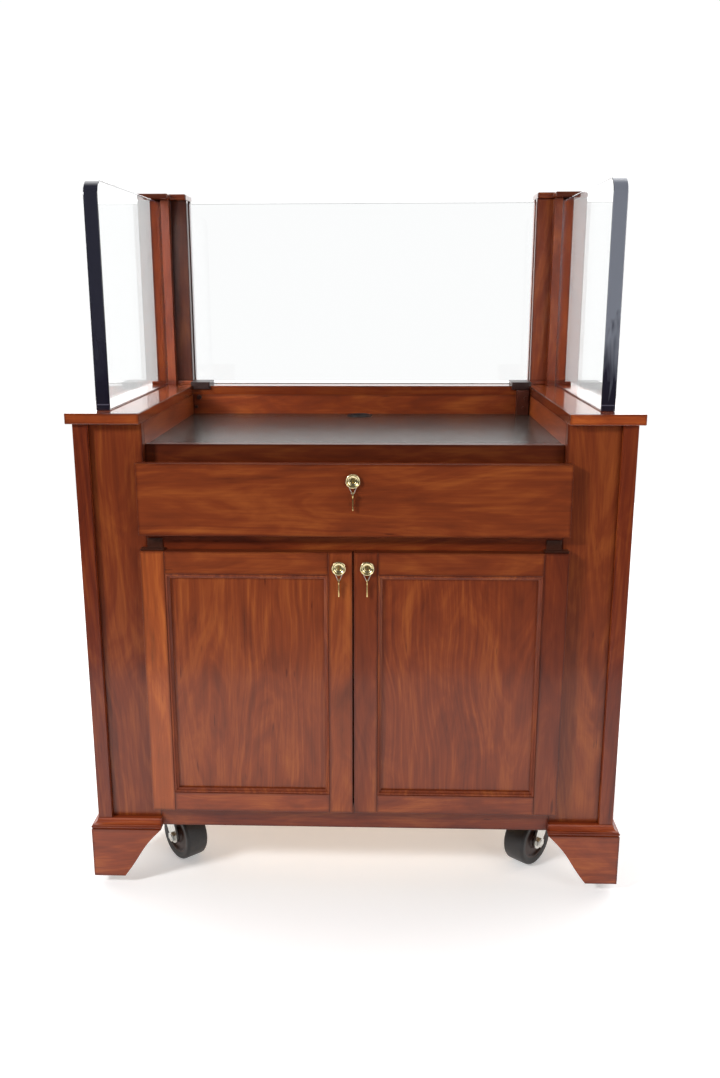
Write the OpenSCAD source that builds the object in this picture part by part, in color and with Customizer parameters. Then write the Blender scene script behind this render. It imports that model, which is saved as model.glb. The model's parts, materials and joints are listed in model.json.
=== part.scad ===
// Mobile jeweller's counter cabinet: drawer and doors below, a recessed well and clear shields above.
// Millimetres, +Z up, the front faces -Y. Depths below are counted from the counter's front edge.

/* [Counter] */
// Width of the counter
counter_w = 1000; // [820:10:1260]
// Depth of the counter, front to back
counter_d = 650; // [620:10:800]
// Height of the counter's top above the floor
counter_h = 914; // [840:2:1060]
// Thickness of the counter boards
counter_t = 19; // [16:1:28]
// How far the counter stands over the case at the sides and back
overhang = 10; // [6:1:24]
// Radius of the counter's outer corners, seen from above
counter_r = 6; // [2:1:20]

/* [Well] */
// Clear width of the well
well_w = 741; // [600:1:900]
// Depth of the well, front to back, from the counter's front edge
well_d = 520; // [440:5:540]
// Depth of the well's floor below the counter's top
well_deep = 61; // [40:1:80]
// From the counter's front edge back to the rail in front of the well
well_setback = 38.5; // [38:0.5:90]
// How far that rail stands above the laminate, as a lip
well_lip = 2.7; // [0.5:0.1:6]
// Thickness of the laminate
laminate_t = 1.5; // [1:0.5:3]
// Thickness of the well's boards
well_t = 16; // [12:1:22]
// Radius of the cable hole
cable_r = 22; // [15:1:30]

/* [Case] */
// Thickness of the case boards
board_t = 19; // [15:1:25]
// Width of each proud outer stile
stile_w = 26; // [20:1:40]
// Setback of the outer stiles from the counter's front edge
stile_setback = 9.7; // [6:0.1:20]
// How far the front boards stand back from the outer stiles
reveal = 9.8; // [5:0.1:16]
// Height of the case's lower edge above the floor
case_z = 119.5; // [110:0.5:150]
// Height of the bottom rail
bottom_rail_h = 52; // [40:1:80]
// Height of the mid rail
mid_rail_h = 48; // [40:1:70]
// Thickness of the back panel
back_t = 12; // [6:1:18]
// Height of the adjustable shelf above the case's lower edge
shelf_up = 285; // [150:5:400]

/* [Drawer and doors] */
// Thickness of the drawer front and of the doors
front_t = 20; // [18:1:25]
// Height of the drawer front
drawer_front_h = 129; // [110:1:150]
// Distance from the counter's top to the drawer front
drawer_drop = 86.7; // [80:0.1:100]
// Gap between the drawer front and the doors
front_gap = 28.5; // [26:0.5:40]
// How far the drawer front and doors lie over the boards
overlay = 10; // [8:0.5:16]
// How far the doors lap over the bottom rail
low_overlay = 9.2; // [8:0.1:16]
// Gap between the two doors
door_gap = 2.4; // [2:0.1:4]
// Gap between the closed fronts and the case
bumper = 2; // [1.5:0.1:4]
// Width of the doors' stiles
door_stile = 43; // [38:1:70]
// Width of the doors' top rails
door_top_rail = 42; // [36:1:70]
// Width of the doors' bottom rails
door_bottom_rail = 37.5; // [34:0.5:70]
// Width of the bead inside each door frame
bead_w = 8; // [5:0.5:12]
// Length of the drawer box
drawer_len = 520; // [420:5:540]
// Travel of the drawer
drawer_travel = 400; // [300:10:400]

/* [Shields and posts] */
// Thickness of the clear shields
shield_t = 25; // [12:1:30]
// Height of the shields
shield_h = 387; // [250:1:500]
// Setback of the side shields from the counter's front edge
shield_setback = 38; // [20:1:80]
// Distance from the cabinet's centre to a side shield's inner face
shield_x = 428.5; // [400:0.5:450]
// Radius of the shields' front top corners
shield_r = 28; // [10:1:60]
// Thickness of the post's jaws on each side of a shield
jaw = 17.5; // [12:0.5:24]
// Depth of the grooves that hold the shields
groove = 25; // [15:1:30]
// Length of the post's rear leg past its side leg
rear_leg = 35; // [30:1:60]
// Thickness of the post's caps
cap_t = 12.5; // [8:0.5:20]
// Thickness of the post's bases
base_t = 8; // [5:1:15]
// Height of the posts above the shields
post_rise = 5; // [2:1:20]

/* [Base] */
// How far the feet stand out of the case
foot_proud = 12; // [8:1:16]
// Height of the bracket feet
foot_h = 99.5; // [85:0.5:105]
// Width of a foot at its top
foot_top_w = 134; // [110:1:150]
// Width of a foot at its bottom
foot_bottom_w = 60; // [45:1:80]
// Height of the moulding over the feet
moulding_h = 19; // [12:1:28]
// Radius of the caster wheels
wheel_r = 50; // [38:1:50]
// Width of the caster wheels
wheel_w = 46; // [30:1:48]
// Trail of the wheel behind the swivel's axis
trail = 30; // [20:1:32]
// Angle that the casters are turned to at rest
caster_turn = 42; // [0:1:60]

/* [Locks] */
// Outer radius of the locks' rings
lock_r = 12.7; // [10:0.1:16]
// Radius of the lock cylinders
lock_body_r = 8.5; // [7:0.1:9]
// Distance from the drawer front's top edge to its lock
drawer_lock_drop = 29; // [26:1:40]
// Distance from the doors' top edges to their locks
door_lock_drop = 28.2; // [26:0.1:34]
// Length of the key below its loop
key_len = 30; // [20:1:40]

/* [Clearances] */
// Radial clearance of shafts that turn
run = 0.05; // [0.02:0.01:0.1]
// Clearance between pieces that move past each other
slip = 0.4; // [0.3:0.05:0.8]
// Clearance of a shield in its groove
glaze = 0.5; // [0.2:0.1:1]

/* [Hidden] */
$fn = 64;
cherry = "sienna";
eps = 0.01;
big = 2000;

// Half widths
counter_x = counter_w / 2;
case_x = counter_x - overhang;
well_x = well_w / 2;
stile_x = case_x - stile_w;
side_x = case_x - board_t;
front_x = well_x + overlay;

// Depths, from the counter's front edge
stile_y = stile_setback;
board_y = stile_y + reveal;
case_y = board_y + board_t;
back_y = counter_d - overhang;
panel_y = back_y - back_t;
door_back = board_y - bumper;
door_front = door_back - front_t;

// Heights
deck_z = counter_h - counter_t;
floor_z = counter_h - well_deep;
core_z = floor_z - laminate_t - well_t;
drawer_top = counter_h - drawer_drop;
drawer_z = drawer_top - drawer_front_h;
door_top = drawer_z - front_gap;
door_z = case_z + bottom_rail_h - low_overlay;
mid_z = door_top - overlay;
mid_top = mid_z + mid_rail_h;
divider_drop = 8;
divider_z = mid_top - divider_drop - well_t;
divider_top = divider_z + well_t;
bottom_up = 17.5;
bottom_z = case_z + bottom_up;
rail_top = case_z + bottom_rail_h;
well_rail_lap = 14;
well_rail_z = drawer_top - well_rail_lap;

// Drawer
slide_t = 12.7;
box_t = 12;
box_x = well_x - slide_t - slip;
box_up = 12;
box_z = divider_top + box_up;
box_h = 88;
box_top = box_z + box_h;
sub_y = door_back + box_t;
box_back = door_front + front_t + drawer_len;
slide_h = 45;
slide_up = 18;
slide_z = box_z + slide_up;
// Thickness of the pressed steel parts
sheet = 1.6;

// Doors and hinges
hinge_in = 5;
hinge_y = door_back - front_t / 2;
hinge_x = front_x - hinge_in;
pin_r = 2.5;
bush_r = 5;
bush_h = 8;
bracket_w = 28;
bracket_top_h = 19;
bracket_low_h = 9;
bracket_t = 2.4;

// Locks
lock_in = 24;
lock_x = door_gap / 2 + lock_in;
door_lock_z = door_top - door_lock_drop;
drawer_lock_z = drawer_top - drawer_lock_drop;
ring_out = 6.2;
collar_r = lock_r - 3.7;
collar_len = 3.9;
plug_r = 5.5;
cam_t = 2;
cam_w = 10;
keeper_y = sub_y + slip;
keeper_t = 1.4;
keeper_z = well_rail_z - sheet;
drawer_cam_y = keeper_y + keeper_t + slip;
drawer_cam_len = keeper_z - drawer_lock_z - slip;
door_cam_gap = 1;
door_cam_y = case_y + door_cam_gap;
door_cam_catch = 10;
door_cam_len = door_lock_drop - overlay + door_cam_catch;
loop_t = 1.2;
loop_drop = 21;
loop_out = 2.6;
loop_y = door_front - loop_out;
key_t = 2;
key_hole_r = 1.6;
key_hole_in = 0.6;
key_bow_r = 5.5;
key_bow_in = 2.6;
key_bow_low = 1.3;
key_blade = 4.4;
key_tooth = 1.6;
key_tooth_w = 3;
key_teeth_at = [3, 9];
key_front = loop_y - key_hole_in - key_bow_in - key_bow_r;

// Shields and posts
groove_in = shield_x - glaze;
groove_out = shield_x + shield_t + glaze;
post_in = groove_in - jaw;
post_out = groove_out + jaw;
leg_in = post_in - rear_leg;
post_setback = 18;
post_y = well_d + post_setback;
leg_setback = 18;
leg_y = post_y + leg_setback;
rear_y = leg_y + jaw + glaze;
post_back = rear_y + shield_t + glaze + jaw;
shield_top = counter_h + shield_h;
post_top = shield_top + post_rise;
cap_side = 13;
cap_front = 6;

// Base
foot_x = case_x + foot_proud;
foot_y = stile_y - foot_proud;
foot_back = back_y + foot_proud;
foot_z = case_z - foot_h;
glide_h = 3;
foot_t = board_t;

// Casters
swivel_in = 124;
swivel_deep = 129.3;
swivel_x = case_x - swivel_in;
swivel_front = stile_y + swivel_deep;
swivel_back = back_y - swivel_deep;
plate_t = 3.5;
head_z = bottom_z - plate_t;
crown_up = 71.5;
crown_top = wheel_r + crown_up;
crown_t = 9;
crown_r = 31;
kingpin_r = 6;
axle_r = 6;
leg_t = 4.5;
hub_gap = 1.2;
leg_at = wheel_w / 2 + hub_gap;

// The origin is under the middle of the whole piece
y_mid = (min(key_front, foot_y) + foot_back) / 2;

// ---------------------------------------------------------------- helpers

// A board between two corners, with y counted from the counter's front edge
module board(x0, x1, y0, y1, z0, z1)
    translate([x0, y0 - y_mid, z0]) cube([x1 - x0, y1 - y0, z1 - z0]);

// Puts its children at a place, with y counted from the counter's front edge
module at(x, y, z) translate([x, y - y_mid, z]) children();

// Its children and their mirror image at the other side
module both() { children(); mirror([1, 0, 0]) children(); }

// Its children on the left (-1) or on the right (1); children are drawn at the right
module hand(s) if (s > 0) children(); else mirror([1, 0, 0]) children();

// A round bar along Y, from y0 to y1
module bar_y(x, z, y0, y1, r)
    at(x, y0, z) rotate([-90, 0, 0]) cylinder(h = y1 - y0, r = r);

// A square frustum-shaped cutter that narrows by inset from y0 to y1
module frame_cutter(x0, x1, z0, z1, y0, y1, inset)
    at(0, 0, 0) polyhedron(
        points = [
            [x0, y0, z0], [x1, y0, z0], [x1, y0, z1], [x0, y0, z1],
            [x0 + inset, y1, z0 + inset], [x1 - inset, y1, z0 + inset],
            [x1 - inset, y1, z1 - inset], [x0 + inset, y1, z1 - inset]
        ],
        faces = [[3, 2, 1, 0], [4, 5, 6, 7], [0, 1, 5, 4], [1, 2, 6, 5], [2, 3, 7, 6], [3, 0, 4, 7]]
    );

// ---------------------------------------------------------------- case

// How far the back panel is let into the sides
rabbet = 4;

module case_side(s) color(cherry) hand(s)
    difference() {
        board(side_x, case_x, case_y, back_y, case_z, deck_z);
        board(side_x - eps, side_x + rabbet, panel_y, back_y + eps, case_z - eps, deck_z + eps);
    }

module side_left() case_side(-1);
module side_right() case_side(1);

module back_panel() color(cherry)
    board(-side_x - rabbet, side_x + rabbet, panel_y, back_y, case_z, deck_z);

module bottom_panel() color(cherry)
    board(-side_x, side_x, case_y, panel_y, bottom_z, bottom_z + board_t);

module outer_stiles() color(cherry) both()
    board(stile_x, case_x, stile_y, case_y, case_z, deck_z);

module front_boards() color(cherry) both()
    board(well_x, stile_x, board_y, case_y, case_z, deck_z);

module mid_rail() color(cherry)
    board(-well_x, well_x, board_y, case_y, mid_z, mid_top);

module bottom_rail() color(cherry)
    board(-well_x, well_x, board_y, case_y, case_z, rail_top);

module divider() color("peru")
    board(-side_x, side_x, case_y, panel_y, divider_z, divider_top);

module partitions() color(cherry) both()
    board(well_x, well_x + well_t, case_y, panel_y, divider_top, deck_z);

shelf_z = case_z + shelf_up;
shelf_front = case_y + 30;
shelf_gap = 2;
shelf_pin_r = 3;
shelf_pin_len = 12;
shelf_pin_y = [case_y + 70, panel_y - 50];

module shelf() color("peru")
    board(
        -side_x + shelf_gap, side_x - shelf_gap, shelf_front, panel_y - shelf_gap,
        shelf_z, shelf_z + board_t
    );

module shelf_pins() color("silver") both() for (y = shelf_pin_y)
    at(side_x - shelf_pin_len, y, shelf_z - shelf_pin_r) rotate([0, 90, 0])
        cylinder(h = shelf_pin_len, r = shelf_pin_r);

// ---------------------------------------------------------------- well

module well_rail() color(cherry)
    board(-well_x, well_x, well_setback, well_setback + board_t, well_rail_z, floor_z + well_lip);

module well_back() color(cherry)
    board(-well_x, well_x, well_d, well_d + well_t, core_z, deck_z);

module well_core() color("peru") difference() {
    board(-well_x, well_x, well_setback + board_t, well_d, core_z, floor_z - laminate_t);
    grommet_space();
}

module well_laminate() color("dimgray") difference() {
    board(-well_x, well_x, well_setback + board_t, well_d, floor_z - laminate_t, floor_z);
    grommet_space();
}

grommet_wall = 2;
grommet_flange = 5;
grommet_back = 11;
grommet_y = well_d - cable_r - grommet_back;

module grommet_space()
    at(0, grommet_y, core_z - 1) cylinder(h = well_deep, r = cable_r + grommet_wall);

module grommet() color("black") at(0, grommet_y, 0) difference() {
    union() {
        translate([0, 0, core_z]) cylinder(h = floor_z - core_z, r = cable_r + grommet_wall);
        translate([0, 0, floor_z]) cylinder(h = grommet_wall, r = cable_r + grommet_flange);
    }
    translate([0, 0, core_z - 1]) cylinder(h = well_deep, r = cable_r);
}

cleat_w = 26;
cleat_in = 3;
cleat_top = counter_h - 8;
// The studs at the back of the well: each one's x, its drop below the counter's top, radius and length
cleat_studs = [[well_x - 9, 25, 5, 5], [well_x - 14, 46, 3.5, 3]];
wall_studs = [[-well_x + 14, 25, 5, 6], [-well_x + 7, 46, 3.5, 3]];

module studs(list, y) for (p = list) bar_y(p[0], counter_h - p[1], y - p[3], y, p[2]);

module well_cleat() color("gray") {
    board(well_x - cleat_w - cleat_in, well_x - cleat_in, well_d - well_t, well_d, floor_z, cleat_top);
    studs(cleat_studs, well_d - well_t);
    studs(wall_studs, well_d);
}

// ---------------------------------------------------------------- top

module counter() color(cherry) difference() {
    hull() both() for (y = [counter_r, counter_d - counter_r])
        at(counter_x - counter_r, y, deck_z) cylinder(h = counter_t, r = counter_r, $fn = 32);
    board(-well_x, well_x, -1, well_d, deck_z - 1, counter_h + 1);
}

// A slice of a right post between two levels: a side leg and a rear leg, each grooved for its shield
module post_slice(z0, z1, grow_side) difference() {
    union() {
        board(post_in, post_out + grow_side, post_y, post_back, z0, z1);
        board(leg_in, post_out, leg_y, post_back, z0, z1);
    }
    board(groove_in, groove_out, 0, post_y + groove, z0 - 1, z1 + 1);
    board(0, leg_in + groove, rear_y - glaze, rear_y + shield_t + glaze, z0 - 1, z1 + 1);
}

module post(s) color(cherry) hand(s) post_slice(counter_h + base_t, post_top, 0);
module post_left() post(-1);
module post_right() post(1);

module post_bases() color(cherry) both() post_slice(counter_h, counter_h + base_t, cap_side);

module post_caps() color(cherry) both() {
    board(post_in, post_out + cap_side, post_y - cap_front, post_back + cap_front, post_top, post_top + cap_t);
    board(leg_in, post_in, leg_y - cap_front, post_back + cap_front, post_top, post_top + cap_t);
}

// A side shield: a sheet with its front top corner rounded
module side_shield(s) color("lightcyan", 0.35) hand(s)
    at(shield_x, shield_setback, counter_h)
        difference() {
            cube([shield_t, post_y + groove - glaze - shield_setback, shield_h]);
            translate([-1, 0, shield_h - shield_r]) difference() {
                translate([0, -1, 0]) cube([shield_t + 2, shield_r + 1, shield_r + 1]);
                translate([0, shield_r, 0]) rotate([0, 90, 0]) cylinder(h = shield_t + 2, r = shield_r);
            }
        }

module shield_left() side_shield(-1);
module shield_right() side_shield(1);

module shield_rear() color("lightcyan", 0.35)
    board(
        -leg_in - groove + glaze, leg_in + groove - glaze, rear_y, rear_y + shield_t,
        counter_h, counter_h + shield_h
    );

clip_w = 44;
clip_h = 8.5;
clip_lip = 7;
clip_gap = 1;

module clips() color("black") both() {
    board(leg_in - clip_w, leg_in - clip_gap, well_d, rear_y, counter_h, counter_h + clip_h);
    board(
        leg_in - clip_w, well_x - clip_gap, well_d - clip_lip, well_d,
        counter_h - clip_lip, counter_h + clip_h
    );
}

// ---------------------------------------------------------------- drawer

module lock_hole(x, z) bar_y(x, z, door_front - 1, case_y, lock_body_r);

module drawer_front() color(cherry) difference() {
    board(-front_x, front_x, door_front, door_back, drawer_z, drawer_top);
    lock_hole(0, drawer_lock_z);
}

drawer_floor_t = 6;
drawer_floor_z = box_z + drawer_floor_t;
drawer_floor_gap = 0.2;
dado = 5;
lock_wood = 3;

module drawer_box() color("burlywood") difference() {
    union() {
        board(-box_x, box_x, door_back, sub_y, box_z, drawer_lock_z + lock_body_r + lock_wood);
        board(-box_x, box_x, box_back - box_t, box_back, box_z, box_top);
        both() board(box_x - box_t, box_x, sub_y - eps, box_back, box_z, box_top);
    }
    drawer_floor(0);
    lock_hole(0, drawer_lock_z);
}

module drawer_floor(gap)
    board(
        -box_x + box_t - dado + gap, box_x - box_t + dado - gap,
        sub_y - dado + gap, box_back - box_t + dado - gap,
        drawer_floor_z, drawer_floor_z + drawer_floor_t
    );

module drawer_bottom() color("burlywood") drawer_floor(drawer_floor_gap);

slide_front = case_y + 4;
slide_back = box_back - 2;
slide_apart = 4;

// A channel that opens towards the cabinet's centre (outer) or towards the case (inner)
module channel(x0, x1, web, z, h, y0, y1) {
    board(web < 0 ? x0 : x1 - sheet, web < 0 ? x0 + sheet : x1, y0, y1, z, z + h);
    board(x0, x1, y0, y1, z, z + sheet);
    board(x0, x1, y0, y1, z + h - sheet, z + h);
}

module slides_outer() color("silver") both()
    channel(box_x + slide_apart, well_x, 1, slide_z, slide_h, slide_front, slide_back);

module slides_inner() color("silver") both()
    channel(
        box_x, well_x - sheet - slip, -1, slide_z + sheet + slip, slide_h - 2 * (sheet + slip),
        slide_front, slide_back
    );

keeper_w = 30;
keeper_lip = 5;

module drawer_keeper() color("silver") {
    board(-keeper_w / 2, keeper_w / 2, keeper_y, well_setback + board_t, keeper_z, keeper_z + sheet);
    board(-keeper_w / 2, keeper_w / 2, keeper_y, keeper_y + keeper_t, keeper_z - keeper_lip, keeper_z + eps);
}

// ---------------------------------------------------------------- doors

panel_t = 6;
panel_in = 8;
panel_gap = 0.3;
panel_back = 8.5;
panel_face = door_front + panel_back;
bead_step = 2;

module hinge_bore(z0, z1) at(hinge_x, hinge_y, z0) cylinder(h = z1 - z0, r = bush_r);

// A door's frame with its bead; drawn at the right
module door_frame() difference() {
    board(door_gap / 2, front_x, door_front, door_back, door_z, door_top);
    board(
        door_gap / 2 + door_stile + bead_w, front_x - door_stile - bead_w, door_front - 1, door_back + 1,
        door_z + door_bottom_rail + bead_w, door_top - door_top_rail - bead_w
    );
    frame_cutter(
        door_gap / 2 + door_stile, front_x - door_stile,
        door_z + door_bottom_rail, door_top - door_top_rail,
        door_front - eps, panel_face - bead_step, bead_w
    );
    door_panel(0);
    lock_hole(lock_x, door_lock_z);
    hinge_bore(door_top - bush_h, door_top + 1);
    hinge_bore(door_z - 1, door_z + bush_h);
}

// The panel, let into the frame behind the bead; drawn at the right
module door_panel(gap)
    board(
        door_gap / 2 + door_stile - panel_in + gap, front_x - door_stile + panel_in - gap,
        panel_face, panel_face + panel_t,
        door_z + door_bottom_rail - panel_in + gap, door_top - door_top_rail + panel_in - gap
    );

module door_left() color(cherry) hand(-1) door_frame();
module door_right() color(cherry) hand(1) door_frame();
module panel_left() color(cherry) hand(-1) door_panel(panel_gap);
module panel_right() color(cherry) hand(1) door_panel(panel_gap);

// The bushes that line a door's two hinge holes; drawn at the right
module leaves(s) color("dimgray") hand(s)
    for (z = [door_top - bush_h, door_z])
        at(hinge_x, hinge_y, z) difference() {
            cylinder(h = bush_h, r = bush_r);
            translate([0, 0, -1]) cylinder(h = bush_h + 2, r = pin_r + run);
        }

module leaves_left() leaves(-1);
module leaves_right() leaves(1);

// An angle bracket over (up = 1) or under (up = -1) a door, with its hinge pin and its leaf of height h
module hinge_bracket(z, up, h) {
    tab = z + up * slip;
    z0 = up > 0 ? tab : tab - bracket_t;
    board(front_x - door_stile, front_x, hinge_y - bush_r, board_y, z0, z0 + bracket_t);
    board(
        well_x - bracket_w, well_x - 1, board_y - bracket_t, board_y,
        up > 0 ? tab : tab - h, up > 0 ? tab + h : tab
    );
    at(hinge_x, hinge_y, up > 0 ? z - bush_h + 1 : z0)
        cylinder(h = bush_h - 1 + slip + bracket_t, r = pin_r);
}

module hinge_brackets() color("dimgray") both() {
    hinge_bracket(door_top, 1, bracket_top_h);
    hinge_bracket(door_z, -1, bracket_low_h);
}

// ---------------------------------------------------------------- locks

// The shell: a flared, dished ring and a barrel that ends short of the cam
module lock_shell(x, z, y_end) color("gold")
    at(x, door_front, z) rotate([-90, 0, 0]) difference() {
        rotate_extrude() polygon([
            [plug_r + run, y_end - door_front], [lock_body_r - eps, y_end - door_front],
            [lock_body_r - eps, 0], [collar_r, 0], [collar_r, -collar_len], [lock_r, -collar_len - 0.8],
            [lock_r - 1.2, -ring_out], [lock_r - 2.6, -ring_out + 0.3],
            [plug_r + 1, -1], [plug_r + run, -1]
        ]);
    }

plug_out = 0.6;
slot_w = 1.2;
slot_h = 8;
slot_deep = 2;

// The plug with its key slot, shank and cam; the cam points along the angle turn
module lock_plug(x, z, cam_y, cam_len, turn) color("goldenrod")
    at(x, door_front, z) {
        rotate([-90, 0, 0]) difference() {
            translate([0, 0, -plug_out]) cylinder(h = cam_y - door_front + plug_out, r = plug_r);
            translate([-slot_w / 2, -slot_h / 2, -1]) cube([slot_w, slot_h, 1 + slot_deep]);
        }
        translate([0, cam_y - door_front, 0]) rotate([0, turn, 0]) intersection() {
            union() {
                translate([-cam_w / 2, 0, 0]) cube([cam_w, cam_t, cam_len]);
                rotate([-90, 0, 0]) cylinder(h = cam_t, r = cam_w / 2 + 1);
            }
            rotate([-90, 0, 0]) cylinder(h = cam_t, r = cam_len);
        }
    }

// Two circles, one below the other, joined by their tangents
module teardrop(r_top, r_low, drop) {
    side = acos((r_top - r_low) / drop);
    circle(r = r_top);
    translate([0, -drop]) circle(r = r_low);
    polygon([
        for (s = [-1, 1]) [s * r_top * sin(side), -r_top * cos(side)],
        for (s = [1, -1]) [s * r_low * sin(side), -drop - r_low * cos(side)]
    ]);
}

// A loop that hangs on the lock's collar, and a key that hangs edge-on in it
module lock_key(x, z) color("goldenrod") at(x, loop_y, z) {
    top_r = collar_r + slip + loop_t;
    translate([0, loop_t / 2, 0]) rotate([90, 0, 0]) linear_extrude(height = loop_t) difference() {
        teardrop(top_r, key_t / 2 + slip + loop_t, loop_drop);
        teardrop(top_r - loop_t, key_t / 2 + slip, loop_drop);
    }
    translate([-key_t / 2, -key_hole_in, -loop_drop - key_t / 2 - slip - loop_t / 2]) rotate([90, 0, 90])
        linear_extrude(height = key_t) difference() {
            union() {
                translate([-key_bow_in, -key_bow_low]) circle(r = key_bow_r);
                translate([-key_bow_in - key_blade / 2, -key_len]) square([key_blade, key_len - key_bow_low]);
                for (n = key_teeth_at)
                    translate([-key_bow_in, n - key_len]) square([key_blade / 2 + key_tooth, key_tooth_w]);
            }
            circle(r = key_hole_r);
        }
}

lock_turn = 90;

module lock_drawer() lock_shell(0, drawer_lock_z, keeper_y - slip);
module lock_left() lock_shell(-lock_x, door_lock_z, door_cam_y - slip);
module lock_right() lock_shell(lock_x, door_lock_z, door_cam_y - slip);
module plug_drawer() lock_plug(0, drawer_lock_z, drawer_cam_y, drawer_cam_len, lock_turn);
module plug_left() lock_plug(-lock_x, door_lock_z, door_cam_y, door_cam_len, -lock_turn);
module plug_right() lock_plug(lock_x, door_lock_z, door_cam_y, door_cam_len, lock_turn);
module key_drawer() lock_key(0, drawer_lock_z);
module key_left() lock_key(-lock_x, door_lock_z);
module key_right() lock_key(lock_x, door_lock_z);

// ---------------------------------------------------------------- base

foot_steps = 10;
foot_belly = 4;
foot_waist = 2;
block_w = 34;
block_up = 12;
glide_r = 12;
glide_in = 26;

// The shaped inner edge of a bracket foot, from its top corner to its bottom corner
function ogee(t) = [
    foot_top_w + (foot_bottom_w - foot_top_w) * t - foot_belly * sin(180 * t) - foot_waist * sin(360 * t),
    foot_h * (1 - t)
];

module foot_wing() linear_extrude(height = foot_t)
    polygon(concat([[0, 0], [0, foot_h]], [for (i = [0:foot_steps]) ogee(i / foot_steps)]));

// A front right foot: two wings, a glue block behind them and a glide under the corner
module foot() {
    at(foot_x, foot_y + foot_t, foot_z) rotate([90, 0, 0]) mirror([1, 0, 0]) foot_wing();
    at(foot_x - foot_t, foot_y, foot_z) rotate([90, 0, 90]) foot_wing();
    board(
        foot_x - foot_t - block_w, foot_x - foot_t, foot_y + foot_t, foot_y + foot_t + block_w,
        foot_z + block_up, case_z
    );
    at(foot_x - glide_in, foot_y + glide_in, foot_z - glide_h) cylinder(h = glide_h, r = glide_r);
}

// Its children and their mirror image at the back of the case
module front_and_back() {
    children();
    translate([0, foot_y + foot_back - 2 * y_mid, 0]) mirror([0, 1, 0]) children();
}

module feet() color(cherry) both() front_and_back() foot();

// The moulding's section: a fillet, then a cove that falls back to the case; x goes inwards
module moulding_section(back) difference() {
    square([back, moulding_h]);
    translate([0, moulding_h]) circle(r = foot_proud);
}

// Two mitred lengths of moulding over a front right foot
module moulding() difference() {
    union() {
        intersection() {
            at(foot_x, foot_y, case_z) rotate([90, 0, -90]) mirror([1, 0, 0])
                linear_extrude(height = foot_top_w) moulding_section(board_y - foot_y);
            mitre(1);
        }
        intersection() {
            at(foot_x, foot_y + foot_top_w, case_z) rotate([90, 0, 0]) mirror([1, 0, 0])
                linear_extrude(height = foot_top_w) moulding_section(foot_proud);
            mitre(-1);
        }
    }
    board(stile_x, case_x, stile_y, case_y, case_z - 1, deck_z);
}

// Half of space on one side of the corner's 45 degree plane
module mitre(s) at(foot_x, foot_y, 0) rotate([0, 0, 135])
    translate([-big, s > 0 ? 0 : -big, 0]) cube([2 * big, big, big]);

module mouldings() color(cherry) difference() {
    both() front_and_back() moulding();
    board(-case_x, case_x, case_y, back_y, case_z - 1, deck_z);
}

// ---------------------------------------------------------------- casters

plate_w = 92;
plate_l = 78;
nut_h = 7;
nut_r = 10;
nut_z = crown_top - crown_t - slip - nut_h;
race_z = crown_top + slip;

module at_caster(sx, y) at(sx * swivel_x, y, 0) children();

// Each caster's turn at rest, so that the wheels' outer faces show
module turned(sx, sy) rotate([0, 0, -sx * sy * caster_turn]) children();

module caster_plate() {
    translate([-plate_w / 2, -plate_l / 2, head_z]) cube([plate_w, plate_l, plate_t]);
    translate([0, 0, race_z]) cylinder(h = head_z - race_z, r = crown_r + 1);
    translate([0, 0, nut_z]) cylinder(h = head_z - nut_z, r = kingpin_r);
    translate([0, 0, nut_z]) cylinder(h = nut_h, r = nut_r);
}

module caster_plates() color("silver")
    for (sx = [-1, 1], y = [swivel_front, swivel_back]) at_caster(sx, y) caster_plate();

leg_top_w = 22;
leg_end_r = 14;
leg_lean = 2;
bolt_h = 6;
bolt_r = 10;
bolt_end = 1;

// The fork's side, seen along the axle: a strip from the crown down to the axle
module fork_side() linear_extrude(height = leg_t) {
    translate([-leg_top_w, crown_top - crown_t]) square([2 * leg_top_w, crown_t]);
    polygon([
        [-leg_top_w, crown_top - crown_t + 1], [leg_top_w, crown_top - crown_t + 1],
        [leg_end_r - trail, wheel_r - leg_lean], [-leg_end_r - trail, wheel_r + leg_lean]
    ]);
    translate([-trail, wheel_r]) circle(r = leg_end_r);
}

// A fork whose wheel trails towards -Y before it is turned
module fork() {
    difference() {
        translate([0, 0, crown_top - crown_t]) union() {
            cylinder(h = crown_t, r = crown_r);
            translate([-leg_at - leg_t, -leg_top_w, 0]) cube([2 * (leg_at + leg_t), 2 * leg_top_w, crown_t]);
        }
        translate([0, 0, crown_top - crown_t - 1]) cylinder(h = crown_t + 2, r = kingpin_r + run);
    }
    for (s = [-1, 1]) translate([s > 0 ? leg_at : -leg_at - leg_t, 0, 0]) rotate([90, 0, 90]) fork_side();
    translate([0, -trail, wheel_r]) rotate([0, 90, 0]) {
        cylinder(h = 2 * (leg_at + leg_t + bolt_h + bolt_end), r = axle_r, center = true);
        for (z = [-leg_at - leg_t - bolt_h, leg_at + leg_t])
            translate([0, 0, z]) cylinder(h = bolt_h, r = bolt_r, $fn = 6);
    }
}

module caster_fork(sx, y, sy) color("silver") at_caster(sx, y) turned(sx, sy)
    mirror([0, sy < 0 ? 1 : 0, 0]) fork();

hub_r = 14;
dish_r0 = 16;
dish_r1 = 34;
rim_r = 37;
dish = 4;
shoulder = 4;

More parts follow.
